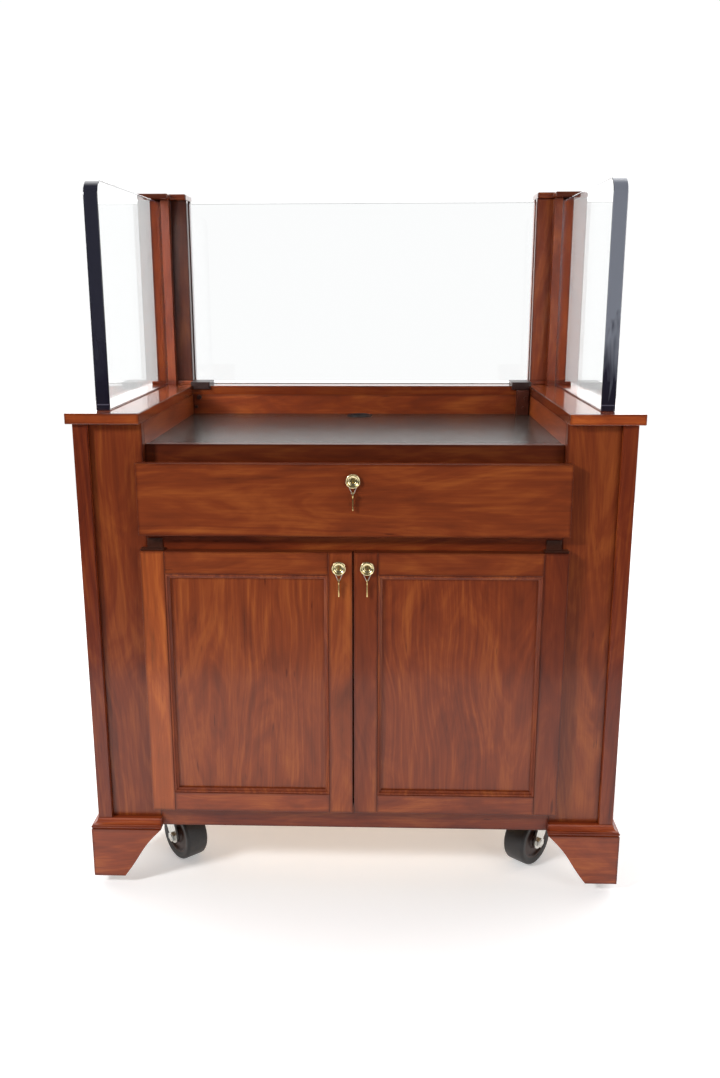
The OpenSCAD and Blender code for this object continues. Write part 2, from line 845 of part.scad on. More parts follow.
// A wheel: a rounded tread, dished sides and a hub that runs on the axle
module wheel() translate([0, -trail, wheel_r]) rotate([0, 90, 0]) rotate_extrude()
    polygon([
        [axle_r + run, -wheel_w / 2], [hub_r, -wheel_w / 2], [dish_r0, -wheel_w / 2 + dish],
        [dish_r1, -wheel_w / 2 + dish], [rim_r, -wheel_w / 2], [wheel_r - shoulder, -wheel_w / 2],
        [wheel_r, -wheel_w / 2 + shoulder], [wheel_r, wheel_w / 2 - shoulder],
        [wheel_r - shoulder, wheel_w / 2], [rim_r, wheel_w / 2], [dish_r1, wheel_w / 2 - dish],
        [dish_r0, wheel_w / 2 - dish], [hub_r, wheel_w / 2], [axle_r + run, wheel_w / 2]
    ]);

module caster_wheel(sx, y, sy) color("black") at_caster(sx, y) turned(sx, sy)
    mirror([0, sy < 0 ? 1 : 0, 0]) wheel();

module fork_fl() caster_fork(-1, swivel_front, 1);
module fork_fr() caster_fork(1, swivel_front, 1);
module fork_rl() caster_fork(-1, swivel_back, -1);
module fork_rr() caster_fork(1, swivel_back, -1);
module wheel_fl() caster_wheel(-1, swivel_front, 1);
module wheel_fr() caster_wheel(1, swivel_front, 1);
module wheel_rl() caster_wheel(-1, swivel_back, -1);
module wheel_rr() caster_wheel(1, swivel_back, -1);

side_left();
side_right();
back_panel();
bottom_panel();
outer_stiles();
front_boards();
mid_rail();
bottom_rail();
divider();
partitions();
shelf();
shelf_pins();
well_rail();
well_back();
well_core();
well_laminate();
grommet();
well_cleat();
counter();
post_left();
post_right();
post_caps();
post_bases();
shield_left();
shield_right();
shield_rear();
clips();
drawer_front();
drawer_box();
drawer_bottom();
slides_outer();
slides_inner();
drawer_keeper();
door_left();
door_right();
panel_left();
panel_right();
hinge_brackets();
leaves_left();
leaves_right();
lock_drawer();
lock_left();
lock_right();
plug_drawer();
plug_left();
plug_right();
key_drawer();
key_left();
key_right();
feet();
mouldings();
caster_plates();
fork_fl();
fork_fr();
fork_rl();
fork_rr();
wheel_fl();
wheel_fr();
wheel_rl();
wheel_rr();
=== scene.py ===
# %% [markdown]
# # A mobile jeweller's counter, dressed for its portrait
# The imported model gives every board, hinge and caster in its true place. This lesson adds what the
# model leaves plain: eased edges, grain that runs the way each board was cut, a moulded bead in the
# doors, polished brass, thick clear panels and rubber wheels. It starts by loading that model.

# %% Load the frame
import json
import math

import bmesh
import bpy
import numpy as np
from mathutils import Matrix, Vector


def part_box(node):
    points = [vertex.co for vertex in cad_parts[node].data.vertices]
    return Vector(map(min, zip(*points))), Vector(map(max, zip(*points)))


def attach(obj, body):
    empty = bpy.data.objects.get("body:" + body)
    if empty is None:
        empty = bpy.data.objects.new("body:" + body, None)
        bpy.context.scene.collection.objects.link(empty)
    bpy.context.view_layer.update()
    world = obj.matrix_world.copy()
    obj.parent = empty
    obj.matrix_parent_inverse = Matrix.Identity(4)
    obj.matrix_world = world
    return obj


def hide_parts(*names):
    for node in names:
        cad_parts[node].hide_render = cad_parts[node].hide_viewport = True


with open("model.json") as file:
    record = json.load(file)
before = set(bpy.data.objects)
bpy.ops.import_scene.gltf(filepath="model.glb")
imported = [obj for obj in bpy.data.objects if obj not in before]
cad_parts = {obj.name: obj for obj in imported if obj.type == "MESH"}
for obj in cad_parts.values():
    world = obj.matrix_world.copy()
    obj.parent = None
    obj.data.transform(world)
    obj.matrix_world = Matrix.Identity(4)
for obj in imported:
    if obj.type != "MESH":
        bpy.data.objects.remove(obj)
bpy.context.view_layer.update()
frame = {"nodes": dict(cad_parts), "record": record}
BODY_OF = {node: body for body, nodes in frame["record"]["behaviour"]["bodies"].items() for node in nodes}
MM = 0.001


def low(node):
    """The lowest corner of a CAD node as an array."""
    return np.array(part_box(node)[0], float)


def high(node):
    """The highest corner of a CAD node as an array."""
    return np.array(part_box(node)[1], float)


# %% [markdown]
# ## The camera
# A buyer stands a little to the right of the cabinet's middle, with the eye 1.1 m up, and looks
# down slightly. The place is counted from the counter's front edge and from the floor. The lens is
# a short normal one, 34.5 mm on a 36 mm long side, and it is shifted by one part in a hundred, as
# the rising front of a view camera does.

# %% Camera
counter_low, counter_high = low("counter"), high("counter")
cam_data = bpy.data.cameras.new("camera")
cam_data.lens = 34.46
cam_data.sensor_width = 36.0
cam_data.shift_x, cam_data.shift_y = 0.0099, 0.0114
cam = bpy.data.objects.new("camera", cam_data)
bpy.context.scene.collection.objects.link(cam)
cam.location = (55.5 * MM, counter_low[1] - 1767.5 * MM, 1123.6 * MM)
aim = Matrix.Rotation(math.radians(2.01), 3, "Z") @ Matrix.Rotation(math.radians(90 - 14.34), 3, "X")
cam.rotation_euler = (aim @ Matrix.Rotation(math.radians(-0.13), 3, "Z")).to_euler()
bpy.context.scene.camera = cam
print("camera at", tuple(round(c, 3) for c in cam.location))

# %% [markdown]
# ## Floor and light
# The cabinet stands on a sheet of white paper. Behind it the studio is bright, which whitens the
# shields and the polished counter; in front of it the room is dim, so the lacquer keeps its depth.
# Only the paper just before the cabinet shines up into the low boards. A soft lamp high on
# the left draws the thin shadows beside the stiles, and a wider, weaker one on the right opens
# them. The left lamp is small, so those shadows stay thin.

# %% Paper floor
PAPER = ((-3.0, -1.45), (3.0, 3.4))
(x0, y0), (x1, y1) = PAPER
floor_mesh = bpy.data.meshes.new("floor")
floor_mesh.from_pydata([(x0, y0, 0), (x1, y0, 0), (x1, y1, 0), (x0, y1, 0)], [], [(0, 1, 2, 3)])
floor = bpy.data.objects.new("floor", floor_mesh)
bpy.context.scene.collection.objects.link(floor)
print("paper", x1 - x0, "by", y1 - y0, "m")

# %% Lamps


def softbox(name, place, aim, size, watts):
    """A square area lamp at a place, turned so that it shines at the aim point."""
    data = bpy.data.lights.new(name, "AREA")
    data.size = size
    data.energy = watts
    lamp = bpy.data.objects.new(name, data)
    bpy.context.scene.collection.objects.link(lamp)
    way = np.array(aim, float) - np.array(place, float)
    lamp.location = place
    lamp.rotation_euler = (
        math.acos(-way[2] / np.linalg.norm(way)), 0.0, math.atan2(way[1], way[0]) - math.pi / 2
    )
    return lamp


softbox("key", (-2.75, -2.45, 2.45), (0.0, 0.0, 0.6), 0.6, 100)
softbox("fill", (2.5, -2.7, 1.9), (0.0, 0.0, 0.6), 1.8, 42)
print("lamps", len(bpy.data.lights))

# %% Room
FRONT_GLOW, BACK_GLOW, SEEN_GLOW = 0.05, 2.3, 1.02
world = bpy.data.worlds.new("studio")
bpy.context.scene.world = world
world.use_nodes = True
sky = world.node_tree
room = sky.nodes["Background"]
turn = sky.nodes.new("ShaderNodeSeparateXYZ")
sky.links.new(sky.nodes.new("ShaderNodeTexCoord").outputs["Generated"], turn.inputs[0])
depth = sky.nodes.new("ShaderNodeMapRange")
depth.interpolation_type = "SMOOTHSTEP"
for socket, value in zip(("From Min", "From Max", "To Min", "To Max"), (-0.25, 0.45, FRONT_GLOW, BACK_GLOW)):
    depth.inputs[socket].default_value = value
sky.links.new(turn.outputs["Y"], depth.inputs["Value"])
sky.links.new(depth.outputs["Result"], room.inputs["Strength"])
seen = sky.nodes.new("ShaderNodeBackground")
seen.inputs["Strength"].default_value = SEEN_GLOW
for background in (room, seen):
    background.inputs["Color"].default_value = (1.0, 1.0, 1.0, 1.0)
path = sky.nodes.new("ShaderNodeLightPath")
straight = sky.nodes.new("ShaderNodeMath")
straight.operation = "MAXIMUM"
sky.links.new(path.outputs["Is Camera Ray"], straight.inputs[0])
sky.links.new(path.outputs["Is Transmission Ray"], straight.inputs[1])
choice = sky.nodes.new("ShaderNodeMixShader")
sky.links.new(straight.outputs[0], choice.inputs[0])
sky.links.new(room.outputs[0], choice.inputs[1])
sky.links.new(seen.outputs[0], choice.inputs[2])
sky.links.new(choice.outputs[0], sky.nodes["World Output"].inputs["Surface"])
bpy.context.scene.view_settings.view_transform = "Standard"
print("room glow", FRONT_GLOW, "in front,", BACK_GLOW, "behind")

# %% [markdown]
# ## Stained cherry
# A board is a slice of a tree, so its figure is made as a tree makes it. The rings are circles
# round a pith that lies behind the board, and the tree tapers, so the rings cut the face in long
# arches. Soft clouds of stain, fine fibres and dark gum flecks lie over them, and each board is
# darker along its edges and ends: dark joint lines, with painted shade in the joints and corners.
# The pattern is solid, so ends and edges match the faces. Each board has its own pith and shade.

# %% Material helpers


def new_material(name):
    """A material with its Principled shader and a node maker."""
    mat = bpy.data.materials.new(name)
    mat.use_nodes = True
    tree = mat.node_tree
    shader = tree.nodes["Principled BSDF"]

    def node(kind, links=(), **values):
        made = tree.nodes.new(kind)
        for key, value in values.items():
            if key.startswith("in_"):
                made.inputs[key[3:].replace("_", " ")].default_value = value
            else:
                setattr(made, key, value)
        for socket, source in links:
            tree.links.new(source, made.inputs[socket])
        return made

    return mat, tree, shader, node


def ramp(node, source, stops):
    """A colour ramp over a value, from (place, colour) pairs."""
    made = node("ShaderNodeValToRGB", [("Fac", source)])
    elements = made.color_ramp.elements
    while len(elements) < len(stops):
        elements.new(0.5)
    for element, (place, colour) in zip(elements, stops):
        element.position = place
        element.color = (*colour, 1.0)
    return made.outputs["Color"]


# %% Stained wood


def wood(name, centre, size, grain=None, seed=1.0, shade=1.0, warm=0.0, stain=None, coat=0.16, rough=0.32):
    """
    Lacquered wood for a board with a centre and size. The grain runs along its longest side.
    Rings: r = root(w^2 + d^2) + taper * l, with w and d the distances from the pith across and
    through the board, and l the distance along it; noise bends the pith sideways.
    """
    mat, tree, shader, node = new_material(name)
    order = np.argsort(size)
    along = int(order[2]) if grain is None else grain
    rest = [int(k) for k in order if k != along]
    through, across = rest[0], rest[1]

    def calc(kind, a, b=0.0):
        made = tree.nodes.new("ShaderNodeMath")
        made.operation = kind
        for socket, value in zip(made.inputs, (a, b)):
            if isinstance(value, (int, float)):
                socket.default_value = value
            else:
                tree.links.new(value, socket)
        return made.outputs[0]

    spot = node("ShaderNodeTexCoord").outputs["Object"]
    local = node("ShaderNodeMapping", [("Vector", spot)], in_Location=tuple(-np.array(centre, float)))
    cut = node("ShaderNodeSeparateXYZ", [("Vector", local.outputs[0])])
    shift = tuple(seed * k for k in (3.7, 5.3, 2.9))

    def cloud(along_size, across_size, detail, rough_by=0.5, bend=0.0):
        scale = [across_size] * 3
        scale[along] = along_size
        moved = node(
            "ShaderNodeMapping", [("Vector", local.outputs[0])], in_Location=shift, in_Scale=tuple(scale)
        )
        made = node(
            "ShaderNodeTexNoise", [("Vector", moved.outputs[0])],
            in_Scale=1.0, in_Detail=detail, in_Roughness=rough_by, in_Distortion=bend,
        )
        return made.outputs["Fac"]

    jump = np.random.default_rng(int(seed * 17))
    aside = float(jump.uniform(-0.35, 0.35)) * size[across]
    pith = float(jump.uniform(0.03, 0.08))
    taper = float(jump.uniform(0.03, 0.07)) * (1 if jump.random() > 0.5 else -1)
    sway = calc("MULTIPLY", calc("SUBTRACT", cloud(2.2, 5.0, 2.0), 0.5), 0.11)
    w = calc("ADD", calc("ADD", cut.outputs[across], aside), sway)
    d = calc("ADD", cut.outputs[through], pith)
    ring = calc("SQRT", calc("ADD", calc("MULTIPLY", w, w), calc("MULTIPLY", d, d)))
    ring = calc("ADD", ring, calc("MULTIPLY", cut.outputs[along], taper))
    growth = node("ShaderNodeTexNoise", noise_dimensions="1D", in_Scale=1.0, in_Detail=3.0, in_Roughness=0.6)
    tree.links.new(calc("MULTIPLY", ring, 150.0), growth.inputs["W"])
    stains = cloud(4.5, 17.0, 4.0, 0.6, 1.2)
    fibres = cloud(11.0, 330.0, 3.0, 0.6)
    tone = calc("ADD", calc("MULTIPLY", growth.outputs["Fac"], 0.25), calc("MULTIPLY", stains, 0.55))
    tone = calc("ADD", tone, calc("MULTIPLY", fibres, 0.20))
    stops = [
        tuple(shade * (c + warm * k) for c, k in zip(colour, (0.03, 0.012, 0.002)))
        for colour in (stain or CHERRY)
    ]
    figure = ramp(node, tone, [(0.33, stops[0]), (0.5, stops[1]), (0.66, stops[2])])
    flecks = ramp(node, cloud(19.0, 170.0, 1.0), [(0.19, (0.45, 0.4, 0.4)), (0.26, (1.0, 1.0, 1.0))])
    # Darker near the board's edges and ends: dark joint lines, with painted shade in the joints and corners.
    near_side = calc("SUBTRACT", size[across] / 2, calc("ABSOLUTE", cut.outputs[across]))
    near_end = calc("SUBTRACT", size[along] / 2, calc("ABSOLUTE", cut.outputs[along]))
    edge = ramp(
        node, calc("MULTIPLY", calc("MINIMUM", near_side, near_end), 100.0),
        [(0.06, (0.5, 0.42, 0.42)), (0.5, (1.0, 1.0, 1.0))],
    )
    for layer in (flecks, edge):
        mixed = node("ShaderNodeMix", data_type="RGBA", blend_type="MULTIPLY")
        mixed.inputs["Factor"].default_value = 0.9
        tree.links.new(figure, mixed.inputs[6])
        tree.links.new(layer, mixed.inputs[7])
        figure = mixed.outputs[2]
    tree.links.new(figure, shader.inputs["Base Color"])
    bump = node("ShaderNodeBump", [("Height", fibres)], in_Strength=0.12, in_Distance=0.0003)
    tree.links.new(bump.outputs["Normal"], shader.inputs["Normal"])
    shader.inputs["Roughness"].default_value = rough
    shader.inputs["Coat Weight"].default_value = coat
    shader.inputs["Specular IOR Level"].default_value = 0.34
    shader.inputs["Coat Roughness"].default_value = 0.1
    return mat


CHERRY = ((0.098, 0.0150, 0.0052), (0.200, 0.033, 0.0080), (0.33, 0.079, 0.016))
BIRCH = ((0.42, 0.26, 0.13), (0.55, 0.36, 0.19), (0.64, 0.45, 0.27))
print("stains", CHERRY[1], BIRCH[1])

# %% Plain finishes


def plain(name, colour, rough, metal=0.0, speckle=0.04, size=260.0, bump_by=0.03):
    """A finish with faint mottling and a fine bump, so that it isn't one flat colour."""
    mat, tree, shader, node = new_material(name)
    place = node("ShaderNodeTexCoord").outputs["Object"]
    grain = node("ShaderNodeTexNoise", [("Vector", place)], in_Scale=size, in_Detail=4.0).outputs["Fac"]
    cloud = node("ShaderNodeTexNoise", [("Vector", place)], in_Scale=size / 18, in_Detail=3.0).outputs["Fac"]
    both = node("ShaderNodeMix", [("A", grain), ("B", cloud)], data_type="FLOAT", in_Factor=0.5)
    darker = tuple(c * (1 - 4 * speckle) for c in colour)
    lighter = tuple(min(1.0, c * (1 + 4 * speckle)) for c in colour)
    figure = ramp(node, both.outputs["Result"], [(0.35, darker), (0.65, lighter)])
    tree.links.new(figure, shader.inputs["Base Color"])
    bump = node("ShaderNodeBump", [("Height", grain)], in_Strength=bump_by, in_Distance=0.0003)
    tree.links.new(bump.outputs["Normal"], shader.inputs["Normal"])
    shader.inputs["Roughness"].default_value = rough
    shader.inputs["Metallic"].default_value = metal
    return mat


laminate = plain("laminate", (0.034, 0.024, 0.019), 0.24, speckle=0.05, size=900.0)
brass = plain("polished_brass", (0.90, 0.77, 0.46), 0.26, metal=1.0, speckle=0.02, bump_by=0.01)
brass_dull = plain("worn_brass", (0.74, 0.58, 0.26), 0.28, metal=1.0, speckle=0.05)
steel = plain("zinc_plate", (0.62, 0.62, 0.58), 0.3, metal=1.0, speckle=0.05, size=160.0)
bronze = plain("dark_bronze", (0.062, 0.018, 0.009), 0.36, speckle=0.05)
black = plain("black_plastic", (0.012, 0.009, 0.010), 0.42, speckle=0.05)
umber = plain("dark_umber", (0.020, 0.007, 0.0055), 0.3, speckle=0.06)
cleat_paint = plain("brown_cleat", (0.075, 0.018, 0.010), 0.28, speckle=0.05)
rubber = plain("tread_rubber", (0.018, 0.016, 0.016), 0.45, speckle=0.06, bump_by=0.08)
core = plain("wheel_core", (0.045, 0.018, 0.012), 0.4, speckle=0.06)
paper = plain("paper", (0.9, 0.9, 0.9), 0.9, speckle=0.002, bump_by=0.0)
paper_shader = paper.node_tree.nodes["Principled BSDF"]
paper_shader.inputs["Emission Color"].default_value = (1.0, 1.0, 1.0, 1.0)
paper_shader.inputs["Emission Strength"].default_value = 0.3
floor_mesh.materials.append(paper)


def clear(name, tint):
    """Clear cast sheet, refracting as acrylic does, with a faint tint."""
    mat, tree, shader, node = new_material(name)
    shader.inputs["Base Color"].default_value = (*tint, 1.0)
    shader.inputs["Transmission Weight"].default_value = 1.0
    shader.inputs["IOR"].default_value = 1.49
    shader.inputs["Roughness"].default_value = 0.0
    return mat


clear_sheet = clear("clear_sheet", (0.985, 0.995, 0.995))
print("finishes ready")

# %% [markdown]
# ## Pieces from the model, with their edges eased
# No real board has a knife edge: sandpaper and lacquer round it, and that thin rounding is what
# catches the light. So each CAD node gets a twin: its triangles are joined, its flat faces made
# whole again, and a small bevel is laid along every sharp edge. The twin stands for the node.

# %% Twins with eased edges


def add_object(name, mesh):
    """A new object at the origin that holds a mesh."""
    made = bpy.data.objects.new(name, mesh)
    bpy.context.scene.collection.objects.link(made)
    return made


def ease(obj, width, segments=3, angle=35.0, keep=None):
    """
    A bevel on edges sharper than an angle, with the flat faces' shading kept flat. keep(middles)
    says which edges get it, from the array of their middles; without it all do.
    """
    mod = obj.modifiers.new("eased", "BEVEL")
    mod.width = width
    mod.segments = segments
    mod.harden_normals = True
    mod.limit_method = "ANGLE"
    mod.angle_limit = math.radians(angle)
    if keep:
        ends = np.empty(len(obj.data.edges) * 2, int)
        obj.data.edges.foreach_get("vertices", ends)
        middles = corners(obj.data)[ends.reshape(-1, 2)].mean(1)
        weights = obj.data.attributes.new("bevel_weight_edge", "FLOAT", "EDGE")
        weights.data.foreach_set("value", keep(middles).astype(float))
        mod.limit_method = "WEIGHT"
    return obj


def smooth(mesh, angle=35.0):
    """Smooth shading, with edges sharper than an angle left sharp."""
    mesh.polygons.foreach_set("use_smooth", np.ones(len(mesh.polygons), bool))
    mesh.set_sharp_from_angle(angle=math.radians(angle))


def corners(mesh):
    """The mesh's vertices as an array of shape (vertices, 3)."""
    flat = np.empty(len(mesh.vertices) * 3)
    mesh.vertices.foreach_get("co", flat)
    return flat.reshape(-1, 3)


def joined(node):
    """A CAD node's mesh with its triangles joined and its flat faces whole, in a bmesh."""
    work = bmesh.new()
    work.from_mesh(frame["nodes"][node].data)
    bmesh.ops.remove_doubles(work, verts=work.verts, dist=1e-5)
    bmesh.ops.dissolve_limit(work, angle_limit=math.radians(0.6), verts=work.verts, edges=work.edges)
    return work


def loose_parts(work):
    """Each separate solid of a bmesh as a mesh of its own, from left to right and front to back."""
    left, parts = set(work.verts), []
    while left:
        queue = [left.pop()]
        group = set(queue)
        while queue:
            for edge in queue.pop().link_edges:
                for vert in edge.verts:
                    if vert not in group:
                        group.add(vert)
                        queue.append(vert)
        left -= group
        keep = {v.index for v in group}
        piece = work.copy()
        piece.verts.ensure_lookup_table()
        bmesh.ops.delete(piece, geom=[v for v in piece.verts if v.index not in keep], context="VERTS")
        mesh = bpy.data.meshes.new("part")
        piece.to_mesh(mesh)
        piece.free()
        parts.append(mesh)
    return sorted(parts, key=lambda m: tuple(np.round(corners(m).min(0), 3)))


def twins(node, finish, slot, width=0.0009, segments=3, keep=None):
    """Eased twins of a node's solids. finish(n, centre, size) gives the material of solid n."""
    work = joined(node)
    work.verts.index_update()
    made = []
    for n, mesh in enumerate(loose_parts(work)):
        points = corners(mesh)
        lo, hi = points.min(0), points.max(0)
        mesh.name = f"{node}_{n}"
        mesh.materials.clear()
        mesh.materials.append(finish(n, (lo + hi) / 2, hi - lo))
        smooth(mesh)
        obj = add_object(mesh.name, mesh)
        if width:
            ease(obj, width, segments, keep=keep)
        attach(obj, BODY_OF[node])
        made.append(obj)
    work.free()
    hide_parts(node)
    return made


# %% Boards from the model
# Each node's seed, then how dark and how warm each of its boards came out of the stain; the well rail's low
# shade is partly painted shade
BOARDS = {
    "side_left": (1, [(0.9, 0)]), "side_right": (2, [(0.9, 0)]), "back_panel": (3, [(0.8, 0)]),
    "outer_stiles": (4, [(1.3, 0), (1.45, 0)]), "front_boards": (5, [(0.88, 0.2), (0.93, 0.4)]),
    "mid_rail": (7, [(1.1, 0)]), "bottom_rail": (8, [(0.85, -0.3)]),
    "partitions": (9, [(0.95, 0.5), (1.1, 0.7)]),
    # The well rail's shade of 0.6 darkens its stain further: painted shade, for the shadow on the rail set
    # back under the well.
    "well_rail": (11, [(0.6, 0)]), "well_back": (12, [(0.9, 0.2)]), "post_left": (13, [(0.8, 0)]),
    "post_right": (14, [(0.8, 0)]), "post_caps": (15, [(0.8, 0)]), "post_bases": (21, [(0.9, 0)]),
    "drawer_front": (26, [(0.98, 0.5)]), "panel_left": (27, [(1.02, 0.6)]), "panel_right": (28, [(1.0, 0.3)]),
}


def cherry_finish(seed, tones, name):
    """A finish that gives each solid of a node its own cherry."""
    def finish(n, centre, size):
        shade, warm = tones[min(n, len(tones) - 1)]
        return wood(f"cherry_{name}_{n}", centre, size, seed=seed + n, shade=shade, warm=warm)
    return finish


def below_deck(middles):
    """Edges that don't touch the underside of the counter, where boards are flush."""
    return middles[:, 2] < counter_low[2] - MM


for node_name, (seed, tones) in BOARDS.items():
    flush = node_name in ("partitions", "well_back")
    finish = cherry_finish(seed, tones, node_name)
    if node_name == "post_caps":
        twins(node_name, finish, "cherry", width=0.004, segments=5)
    else:
        twins(node_name, finish, "cherry", keep=below_deck if flush else None)

# The rear leg of the left post is painted darker: painted shade, for the shadow cast on it by the side leg
# and the cap
post = bpy.data.objects["post_left_0"]
post_low, post_high = low("post_left"), high("post_left")
LEG_REACH = 34.5 * MM
painted_shade_leg = wood("cherry_dark_leg", (post_low + post_high) / 2, post_high - post_low, seed=23, shade=0.26)
post.data.materials.append(painted_shade_leg)
middles = np.empty(len(post.data.polygons) * 3)
post.data.polygons.foreach_get("center", middles)
# The faces of the rear leg take the darker wood: painted shade.
shaded_rear_leg = middles.reshape(-1, 3)[:, 0] > post_high[0] - LEG_REACH
post.data.polygons.foreach_set("material_index", shaded_rear_leg.astype(np.int32))
print("cherry nodes", len(BOARDS), "faces of the darker leg", int(shaded_rear_leg.sum()))

# %% Plain boards inside
PLAIN = ("bottom_panel", "divider", "shelf", "well_core", "drawer_box", "drawer_bottom")


def birch_finish(seed, name):
    """A finish that gives each solid of a node plain birch."""
    return lambda n, centre, size: wood(f"birch_{name}_{n}", centre, size, seed=seed, stain=BIRCH)


for n, node_name in enumerate(PLAIN):
    twins(node_name, birch_finish(50 + n, node_name), "plain_wood")
print("plain nodes", len(PLAIN))

# %% Hardware from the model
HARDWARE = {
    "shelf_pins": (steel, "steel"), "grommet": (black, "black_plastic"), "clips": (umber, "black_plastic"),
    "slides_outer": (steel, "steel"), "slides_inner": (steel, "steel"), "drawer_keeper": (steel, "steel"),
    "leaves_left": (bronze, "dark_metal"), "leaves_right": (bronze, "dark_metal"),
    "caster_plates": (steel, "steel"), "fork_fl": (steel, "steel"), "fork_fr": (steel, "steel"),
    "fork_rl": (steel, "steel"), "fork_rr": (steel, "steel"), "plug_drawer": (brass_dull, "brass"),
    "plug_left": (brass_dull, "brass"), "plug_right": (brass_dull, "brass"),
    "well_laminate": (laminate, "laminate"),
}
STUD_SIZE = 30 * MM


def cleat_finish(n, centre, size):
    """The studs are dark, and the cleat, the one long solid, is painted brown."""
    return umber if size[2] < STUD_SIZE else cleat_paint


for node_name, (material, slot_name) in HARDWARE.items():
    twins(node_name, lambda n, centre, size, m=material: m, slot_name, width=0.0004, segments=2)
twins("well_cleat", cleat_finish, "steel", width=0.0006, segments=2)
twins("hinge_brackets", lambda n, centre, size: bronze, "dark_metal", width=0.0004, segments=2)
print("hard nodes", len(HARDWARE) + 2)

# %% [markdown]
# ## Surfaces from numbers
# New pieces come from two recipes. A loft joins rings of points, one after another, into a skin:
# revolved rings, swept mouldings and bent wires are all lofts. A box of boards needs only corners.

# %% Loft


def loft(name, rings, material, close_ends=False, cap=False):
    """
    A skin over closed rings, an array of shape (rings, points, 3); each quad joins two neighbours.
    close_ends joins the last ring to the first, and cap fills the two end rings.
    """
    rings = np.asarray(rings, float)
    count, points = rings.shape[:2]
    i = np.arange(count if close_ends else count - 1)
    ii, jj = np.meshgrid(i, np.arange(points), indexing="ij")
    nxt_i, nxt_j = (ii + 1) % count, (jj + 1) % points
    quads = np.stack([ii * points + jj, nxt_i * points + jj, nxt_i * points + nxt_j, ii * points + nxt_j], -1)
    faces = quads.reshape(-1, 4).tolist()
    if cap:
        faces.append(list(range(points)))
        faces.append(list(range(count * points - 1, (count - 1) * points - 1, -1)))
    mesh = bpy.data.meshes.new(name)
    mesh.from_pydata(rings.reshape(-1, 3).tolist(), [], faces)
    work = bmesh.new()
    work.from_mesh(mesh)
    bmesh.ops.remove_doubles(work, verts=work.verts, dist=1e-7)
    bmesh.ops.recalc_face_normals(work, faces=work.faces)
    work.to_mesh(mesh)
    work.free()
    smooth(mesh)
    obj = add_object(name, mesh)
    mesh.materials.append(material)
    return obj


def revolve(profile, centre, axis, steps=64):
    """Rings of a profile of (radius, distance) pairs, turned round an axis through a centre."""
    axis = np.array(axis, float) / np.linalg.norm(axis)
    side = np.cross(axis, (0.0, 0.0, 1.0) if abs(axis[2]) < 0.9 else (1.0, 0.0, 0.0))
    side /= np.linalg.norm(side)
    other = np.cross(axis, side)
    turn = np.linspace(0, 2 * np.pi, steps, endpoint=False)
    around = np.cos(turn)[:, None] * side + np.sin(turn)[:, None] * other
    profile = np.asarray(profile, float)
    return np.array(centre) + profile[:, :1, None] * around[None] + profile[:, 1, None, None] * axis


def tube_rings(path, radius, sides=12):
    """Rings of a round wire along a closed path that lies in a plane of constant y."""
    path = np.asarray(path, float)
    way = np.roll(path, -1, 0) - np.roll(path, 1, 0)
    way /= np.linalg.norm(way, axis=1, keepdims=True)
    out = np.cross(way, (0.0, 1.0, 0.0))
    out /= np.linalg.norm(out, axis=1, keepdims=True)
    up = np.cross(out, way)
    turn = np.linspace(0, 2 * np.pi, sides, endpoint=False)
    around = np.cos(turn)[None, :, None] * out[:, None] + np.sin(turn)[None, :, None] * up[:, None]
    return path[:, None] + radius * around


def board(name, lo, hi, body="case", width=0.0009, keep=None, **stain):
    """A cherry board between two corners, with eased edges."""
    lo, hi = np.array(lo, float), np.array(hi, float)
    pick = np.array([[0, 0], [1, 0], [1, 1], [0, 1]])
    bottom = np.column_stack([np.where(pick == 0, lo[:2], hi[:2]), np.full(4, lo[2])])
    top = bottom + (0, 0, hi[2] - lo[2])
    obj = loft(name, [bottom, top], wood("cherry_" + name, (lo + hi) / 2, hi - lo, **stain), cap=True)
    ease(obj, width, keep=keep)
    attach(obj, body)
    return obj


print("recipes ready")

# %% [markdown]
# ## The counter
# Three boards make the U: two run front to back, and the rear one runs between them. Their grain
# turns with them, and a hairline shows where they meet. A thin lipping hides the end grain of the
# two side boards at the front.

# %% Counter boards
well_low, well_high = low("well_laminate"), high("well_laminate")
top_z0, top_z1 = counter_low[2], counter_high[2]
JOINT = 0.0001
LIPPING = 6 * MM


def outer_edges(middles):
    """The counter's edges that a hand can reach: not those flush with the well's walls."""
    flush = (np.abs(np.abs(middles[:, 0]) - well_high[0]) < MM) & (middles[:, 2] < top_z1 - MM)
    joint = np.abs(middles[:, 1] - lipping_y) < MM / 2
    back = (np.abs(middles[:, 1] - well_high[1]) < MM) & (middles[:, 2] < top_z1 - MM)
    return ~(flush | joint | back)


GLOSS = {"coat": 1.0, "rough": 0.2}
lipping_y = counter_low[1] + LIPPING
for side, seed, lipping_shade in ((-1, 31, 1.35), (1, 32, 1.75)):
    x0, x1 = sorted((side * well_high[0], side * counter_high[0]))
    name = "left" if side < 0 else "right"
    board(
        f"counter_{name}", (x0, lipping_y + JOINT, top_z0), (x1, counter_high[1], top_z1),
        width=0.0016, keep=outer_edges, seed=seed, shade=1.15, warm=0.6, **GLOSS,
    )
    board(
        f"lipping_{name}", (x0, counter_low[1], top_z0), (x1, lipping_y, top_z1),
        width=0.0016, keep=outer_edges, seed=seed + 3, shade=lipping_shade, warm=0.6, **GLOSS,
    )
board(
    "counter_rear",
    (well_low[0] + JOINT, well_high[1], top_z0), (well_high[0] - JOINT, counter_high[1], top_z1),
    width=0.0012, keep=outer_edges, seed=33, shade=1.1, warm=0.4, **GLOSS,
)
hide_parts("counter")

# %% [markdown]
# ## The doors
# Each door is four boards round a flat panel. The stiles run the full height with their grain
# upright, and the rails fit between them with their grain lying down. A moulded bead, a small
# round over a hollow, is mitred round the inside of the frame and holds the panel.

# %% Doors


